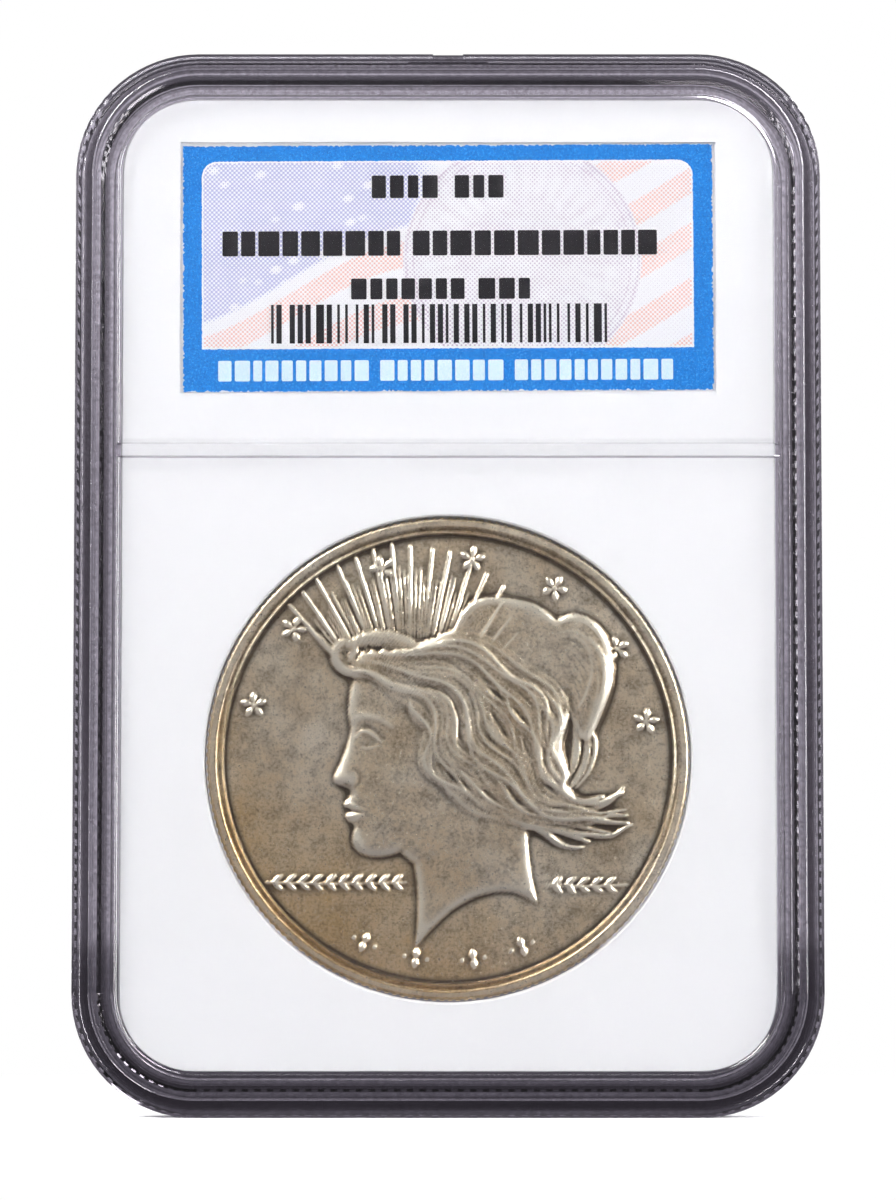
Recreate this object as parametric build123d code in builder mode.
from build123d import *
import os

# Graded coin slab: two clear welded shells around a white core that holds a coin and two labels.
# Frame: X to the right, Z up, the front of the slab looks along -Y. The origin is under the middle
# of the bottom edge, on which the slab stands. Heights named LEVEL are measured from the seam plane
# (Y = 0) towards a face of the slab, and insets are measured inwards from the outline.

# --- driving dimensions, millimetres ---
SLAB_WIDTH = 59.0
SLAB_HEIGHT = 84.1
SLAB_THICKNESS = 7.94
CORNER_RADIUS = 9.7
CREST_LEVEL = SLAB_THICKNESS / 2

COIN_DIAMETER = 38.1
COIN_THICKNESS = 2.4
COIN_CENTRE_HEIGHT = 28.15
COIN_FIELD_DEPTH = 0.4
COIN_RIM_WIDTH = 1.1
REED_COUNT = 189
REED_DEPTH = 0.08
REED_GAP = 0.3
RELIEF_SHARE = 0.8
HEAD_WIDTH = 16.0
HEAD_HEIGHT = 18.0
HEAD_X = 0.5
HEAD_Z = 1.5
NECK_RADIUS = 4.8
NECK_X = 2.5
NECK_Z = -8.0
EMBLEM_RADIUS = 11.0
MARK_COUNT = 7
MARK_RADIUS = 0.9
MARK_CIRCLE = 15.9
MARK_START = 15
MARK_SPAN = 150

LABEL_WIDTH = 42.1
LABEL_HEIGHT = 19.7
LABEL_CENTRE_HEIGHT = 67.1
FRONT_LABEL_THICKNESS = 0.25
REAR_LABEL_THICKNESS = 0.15

CORE_WIDTH = 51.5
CORE_HEIGHT = 76.9
CORE_THICKNESS = 2.9
CORE_CORNER_RADIUS = 5.8
CORE_CLEARANCE = 0.1

# --- shell wall and pane ---
PANE_LEVEL = 2.9
CAVITY_LEVEL = CORE_THICKNESS / 2 + 0.05
SEAM_HALF_GAP = 0.02
SHOULDER_LEVEL = 2.8
SHOULDER_WIDTH = 0.62
SHOULDER_CHAMFER = 0.2
SEAM_CHAMFER = 0.08

# --- front rim: groove, stacking ridge, sloped inner face, step ---
GROOVE_LEVEL = 2.2
RIDGE_INSET = 1.38
RIDGE_ROUND = 0.14
RECESS_INSET = 2.62
RECESS_SLOPE = 0.57
STEP_LEVEL = 3.4
WINDOW_INSET = 3.36
WINDOW_ROUND = 0.3

# --- rear rim: ledge that takes the ridge of the next slab, and a nesting ridge ---
LEDGE_LEVEL = 3.45
REAR_RIDGE_INSET = 2.78
REAR_WINDOW_INSET = 3.5
REAR_ROUND = 0.2

# --- weld tongue, divider rib, mould gate, edge ribs ---
TONGUE_INSET = 1.5
TONGUE_WIDTH = 0.8
TONGUE_DEPTH = 0.6
TONGUE_CLEARANCE = 0.05
DIVIDER_HEIGHT = 52.45
DIVIDER_WIDTH = 1.1
DIVIDER_RISE = 0.35
DIVIDER_ROUND = 0.25
GATE_LENGTH = 6.6
GATE_LEVEL = 2.7
GATE_DIP_LENGTH = 2.4
GATE_DIP_DEPTH = 0.1
RIB_PITCH = 1.0
RIB_GAP = 0.5
RIB_DEPTH = 0.15
RIB_LEVEL = 2.3
RIB_CORNER_COUNT = 15
SIDE_RIB_COUNT = 64
BOTTOM_RIB_COUNT = 39

# --- core pockets ---
COIN_CLEARANCE = 0.12
LABEL_CLEARANCE = 0.2
FRONT_POCKET_DEPTH = 0.35
REAR_POCKET_DEPTH = 0.25
CORE_EDGE_CHAMFER = 0.15

CENTRE_HEIGHT = SLAB_HEIGHT / 2
COIN_LOCAL = COIN_CENTRE_HEIGHT - CENTRE_HEIGHT
LABEL_LOCAL = LABEL_CENTRE_HEIGHT - CENTRE_HEIGHT
DIVIDER_LOCAL = DIVIDER_HEIGHT - CENTRE_HEIGHT


def front_plane(level):
    """Plane parallel to the seam, at a level towards the front, looking to the front."""
    return Plane(origin=(0, -level, CENTRE_HEIGHT), x_dir=(1, 0, 0), z_dir=(0, -1, 0))


def rear_plane(level):
    """Plane parallel to the seam, at a level towards the back, looking to the back."""
    return Plane(origin=(0, level, CENTRE_HEIGHT), x_dir=(-1, 0, 0), z_dir=(0, 1, 0))


def outline(inset, mode=Mode.ADD):
    """Slab outline, moved inwards by the inset."""
    width = SLAB_WIDTH - 2 * inset
    height = SLAB_HEIGHT - 2 * inset
    RectangleRounded(width, height, CORNER_RADIUS - inset, mode=mode)


def cavity_outline():
    """Outline of the space that holds the core."""
    width = CORE_WIDTH + 2 * CORE_CLEARANCE
    height = CORE_HEIGHT + 2 * CORE_CLEARANCE
    RectangleRounded(width, height, CORE_CORNER_RADIUS + CORE_CLEARANCE)


def ring(inset, width, grow=0.0):
    """Closed band that follows the outline, widened by grow on both sides."""
    outline(inset - grow)
    outline(inset + width + grow, mode=Mode.SUBTRACT)


def edge_rib_gaps():
    """Gaps between the grip ribs along both sides, the bottom and the four corners."""
    with GridLocations(SLAB_WIDTH, RIB_PITCH, 2, SIDE_RIB_COUNT):
        Rectangle(2 * RIB_DEPTH, RIB_GAP)
    with Locations((0, -SLAB_HEIGHT / 2)):
        with GridLocations(RIB_PITCH, 0, BOTTOM_RIB_COUNT, 1):
            Rectangle(RIB_GAP, 2 * RIB_DEPTH)
    corner_x = SLAB_WIDTH / 2 - CORNER_RADIUS
    corner_z = SLAB_HEIGHT / 2 - CORNER_RADIUS
    pitch = 90 / RIB_CORNER_COUNT
    for x, z, start in (
        (corner_x, -corner_z, -90),
        (-corner_x, -corner_z, 180),
        (corner_x, corner_z, 0),
        (-corner_x, corner_z, 135),
    ):
        count = RIB_CORNER_COUNT if z < 0 else RIB_CORNER_COUNT // 2
        span = pitch * (count - 1)
        with Locations((x, z)):
            with PolarLocations(CORNER_RADIUS, count, start + pitch / 2, span, endpoint=True):
                Rectangle(2 * RIB_DEPTH, RIB_GAP)


# --- front shell ---
with BuildPart() as front_shell:
    with BuildSketch(front_plane(SEAM_HALF_GAP)):
        outline(0)
    extrude(amount=SHOULDER_LEVEL - SEAM_HALF_GAP)
    chamfer(front_shell.edges().group_by(Axis.Y)[0], SHOULDER_CHAMFER)
    chamfer(front_shell.edges().group_by(Axis.Y)[-1], SEAM_CHAMFER)

    # Groove between the shoulder and the stacking ridge.
    with BuildSketch(front_plane(GROOVE_LEVEL)):
        outline(SHOULDER_WIDTH)
    extrude(amount=CREST_LEVEL, mode=Mode.SUBTRACT)

    # Stacking ridge with a rounded outer edge.
    with BuildSketch(front_plane(GROOVE_LEVEL)):
        outline(RIDGE_INSET)
    extrude(amount=CREST_LEVEL - GROOVE_LEVEL)
    fillet(front_shell.edges().group_by(Axis.Y)[0], RIDGE_ROUND)

    # Recess inside the ridge, with a sloped wall down to a step.
    with BuildSketch(front_plane(STEP_LEVEL)):
        outline(RECESS_INSET)
    extrude(amount=CREST_LEVEL - STEP_LEVEL, mode=Mode.SUBTRACT)
    recess_rim = front_shell.edges(Select.LAST).group_by(Axis.Y)[0]
    chamfer(recess_rim, RECESS_SLOPE - 0.01)

    # Window pane below the step.
    with BuildSketch(front_plane(PANE_LEVEL)):
        outline(WINDOW_INSET)
    extrude(amount=STEP_LEVEL - PANE_LEVEL, mode=Mode.SUBTRACT)
    fillet(front_shell.edges(Select.LAST).group_by(Axis.Y)[-1], WINDOW_ROUND)

    # Divider rib across the pane, between the label and the coin.
    with BuildSketch(front_plane(PANE_LEVEL)):
        with Locations((0, DIVIDER_LOCAL)):
            Rectangle(SLAB_WIDTH - 2 * WINDOW_INSET, DIVIDER_WIDTH)
    extrude(amount=DIVIDER_RISE)
    divider_edges = front_shell.edges(Select.LAST).group_by(Axis.Y)[0].filter_by(Axis.X)
    fillet(divider_edges, DIVIDER_ROUND)

    # Mould gate at the top: a pad in the groove and a shallow dip in the edge.
    with BuildSketch(front_plane(GROOVE_LEVEL)):
        with Locations((0, (SLAB_HEIGHT - SHOULDER_WIDTH - RIDGE_INSET) / 2)):
            SlotOverall(GATE_LENGTH, RIDGE_INSET - SHOULDER_WIDTH + 0.1)
    extrude(amount=GATE_LEVEL - GROOVE_LEVEL)
    with BuildSketch(front_plane(SEAM_HALF_GAP)):
        with Locations((0, SLAB_HEIGHT / 2)):
            Rectangle(GATE_DIP_LENGTH, 2 * GATE_DIP_DEPTH)
    extrude(amount=SHOULDER_LEVEL, mode=Mode.SUBTRACT)

    # Space for the core.
    with BuildSketch(front_plane(SEAM_HALF_GAP)):
        cavity_outline()
    extrude(amount=CAVITY_LEVEL - SEAM_HALF_GAP, mode=Mode.SUBTRACT)

    # Weld tongue that reaches into the rear shell.
    with BuildSketch(front_plane(SEAM_HALF_GAP)):
        ring(TONGUE_INSET, TONGUE_WIDTH)
    extrude(amount=-TONGUE_DEPTH)

    # Grip ribs on the outer wall, behind the plain edge of the shoulder.
    with BuildSketch(front_plane(SEAM_HALF_GAP)):
        edge_rib_gaps()
    extrude(amount=RIB_LEVEL - SEAM_HALF_GAP, mode=Mode.SUBTRACT)
front_shell.part.label = "front_shell"

# --- rear shell ---
with BuildPart() as rear_shell:
    with BuildSketch(rear_plane(SEAM_HALF_GAP)):
        outline(0)
    extrude(amount=SHOULDER_LEVEL - SEAM_HALF_GAP)
    chamfer(rear_shell.edges().group_by(Axis.Y)[-1], SHOULDER_CHAMFER)
    chamfer(rear_shell.edges().group_by(Axis.Y)[0], SEAM_CHAMFER)

    # Ledge that meets the ridge of the next slab in a stack.
    with BuildSketch(rear_plane(SHOULDER_LEVEL)):
        outline(SHOULDER_WIDTH)
    extrude(amount=LEDGE_LEVEL - SHOULDER_LEVEL)

    # Ridge that nests inside the recess of the next slab.
    with BuildSketch(rear_plane(LEDGE_LEVEL)):
        outline(REAR_RIDGE_INSET)
    extrude(amount=CREST_LEVEL - LEDGE_LEVEL)
    fillet(rear_shell.edges().group_by(Axis.Y)[-1], REAR_ROUND)

    # Rear window pane.
    with BuildSketch(rear_plane(PANE_LEVEL)):
        outline(REAR_WINDOW_INSET)
    extrude(amount=CREST_LEVEL - PANE_LEVEL, mode=Mode.SUBTRACT)
    fillet(rear_shell.edges(Select.LAST).group_by(Axis.Y)[0], REAR_ROUND)

    # Space for the core.
    with BuildSketch(rear_plane(SEAM_HALF_GAP)):
        cavity_outline()
    extrude(amount=CAVITY_LEVEL - SEAM_HALF_GAP, mode=Mode.SUBTRACT)

    # Groove for the weld tongue.
    with BuildSketch(rear_plane(SEAM_HALF_GAP)):
        ring(TONGUE_INSET, TONGUE_WIDTH, TONGUE_CLEARANCE)
    extrude(amount=TONGUE_DEPTH, mode=Mode.SUBTRACT)

    # Grip ribs on the outer wall, behind the plain edge of the shoulder.
    with BuildSketch(rear_plane(SEAM_HALF_GAP)):
        edge_rib_gaps()
    extrude(amount=RIB_LEVEL - SEAM_HALF_GAP, mode=Mode.SUBTRACT)
rear_shell.part.label = "rear_shell"

# --- core insert ---
with BuildPart() as core_insert:
    with BuildSketch(front_plane(-CORE_THICKNESS / 2)):
        RectangleRounded(CORE_WIDTH, CORE_HEIGHT, CORE_CORNER_RADIUS)
    extrude(amount=CORE_THICKNESS)
    with BuildSketch(front_plane(-CORE_THICKNESS / 2)):
        with Locations((0, COIN_LOCAL)):
            Circle(COIN_DIAMETER / 2 + COIN_CLEARANCE)
    extrude(amount=CORE_THICKNESS, mode=Mode.SUBTRACT)
    bore_edges = core_insert.edges(Select.LAST).filter_by(GeomType.CIRCLE)
    chamfer(bore_edges, CORE_EDGE_CHAMFER)
    with BuildSketch(front_plane(CORE_THICKNESS / 2)):
        with Locations((0, LABEL_LOCAL)):
            Rectangle(LABEL_WIDTH + 2 * LABEL_CLEARANCE, LABEL_HEIGHT + 2 * LABEL_CLEARANCE)
    extrude(amount=-FRONT_POCKET_DEPTH, mode=Mode.SUBTRACT)
    with BuildSketch(rear_plane(CORE_THICKNESS / 2)):
        with Locations((0, LABEL_LOCAL)):
            Rectangle(LABEL_WIDTH + 2 * LABEL_CLEARANCE, LABEL_HEIGHT + 2 * LABEL_CLEARANCE)
    extrude(amount=-REAR_POCKET_DEPTH, mode=Mode.SUBTRACT)
core_insert.part.label = "core_insert"

# --- coin ---
with BuildPart() as coin:
    with BuildSketch(front_plane(-COIN_THICKNESS / 2)):
        with Locations((0, COIN_LOCAL)):
            Circle(COIN_DIAMETER / 2)
            with PolarLocations(COIN_DIAMETER / 2, REED_COUNT):
                Rectangle(2 * REED_DEPTH, REED_GAP, mode=Mode.SUBTRACT)
    extrude(amount=COIN_THICKNESS)
    with BuildSketch(front_plane(COIN_THICKNESS / 2), rear_plane(COIN_THICKNESS / 2)):
        with Locations((0, COIN_LOCAL)):
            Circle(COIN_DIAMETER / 2 - COIN_RIM_WIDTH)
    extrude(amount=-COIN_FIELD_DEPTH, mode=Mode.SUBTRACT)

    # Low relief on the front: a plain head and neck, and a ring of marks above it.
    with BuildSketch(front_plane(COIN_THICKNESS / 2 - COIN_FIELD_DEPTH)):
        with Locations((HEAD_X, COIN_LOCAL + HEAD_Z)):
            Ellipse(HEAD_WIDTH / 2, HEAD_HEIGHT / 2)
        with Locations((NECK_X, COIN_LOCAL + NECK_Z)):
            Circle(NECK_RADIUS)
        with Locations((0, COIN_LOCAL)):
            with PolarLocations(MARK_CIRCLE, MARK_COUNT, MARK_START, MARK_SPAN, endpoint=True):
                Circle(MARK_RADIUS)
    extrude(amount=COIN_FIELD_DEPTH * RELIEF_SHARE)

    # Low relief on the back: a plain round emblem.
    with BuildSketch(rear_plane(COIN_THICKNESS / 2 - COIN_FIELD_DEPTH)):
        with Locations((0, COIN_LOCAL)):
            Circle(EMBLEM_RADIUS)
    extrude(amount=COIN_FIELD_DEPTH * RELIEF_SHARE)
coin.part.label = "coin"

# --- labels ---
with BuildPart() as front_label:
    with BuildSketch(front_plane(CORE_THICKNESS / 2 - FRONT_POCKET_DEPTH)):
        with Locations((0, LABEL_LOCAL)):
            Rectangle(LABEL_WIDTH, LABEL_HEIGHT)
    extrude(amount=FRONT_LABEL_THICKNESS)
front_label.part.label = "front_label"

with BuildPart() as rear_label:
    with BuildSketch(rear_plane(CORE_THICKNESS / 2 - REAR_POCKET_DEPTH)):
        with Locations((0, LABEL_LOCAL)):
            Rectangle(LABEL_WIDTH, LABEL_HEIGHT)
    extrude(amount=REAR_LABEL_THICKNESS)
rear_label.part.label = "rear_label"

# --- write one file for each piece ---
os.makedirs("parts", exist_ok=True)
for piece in (front_shell, rear_shell, core_insert, coin, front_label, rear_label):
    export_step(piece.part, f"parts/{piece.part.label}.step")
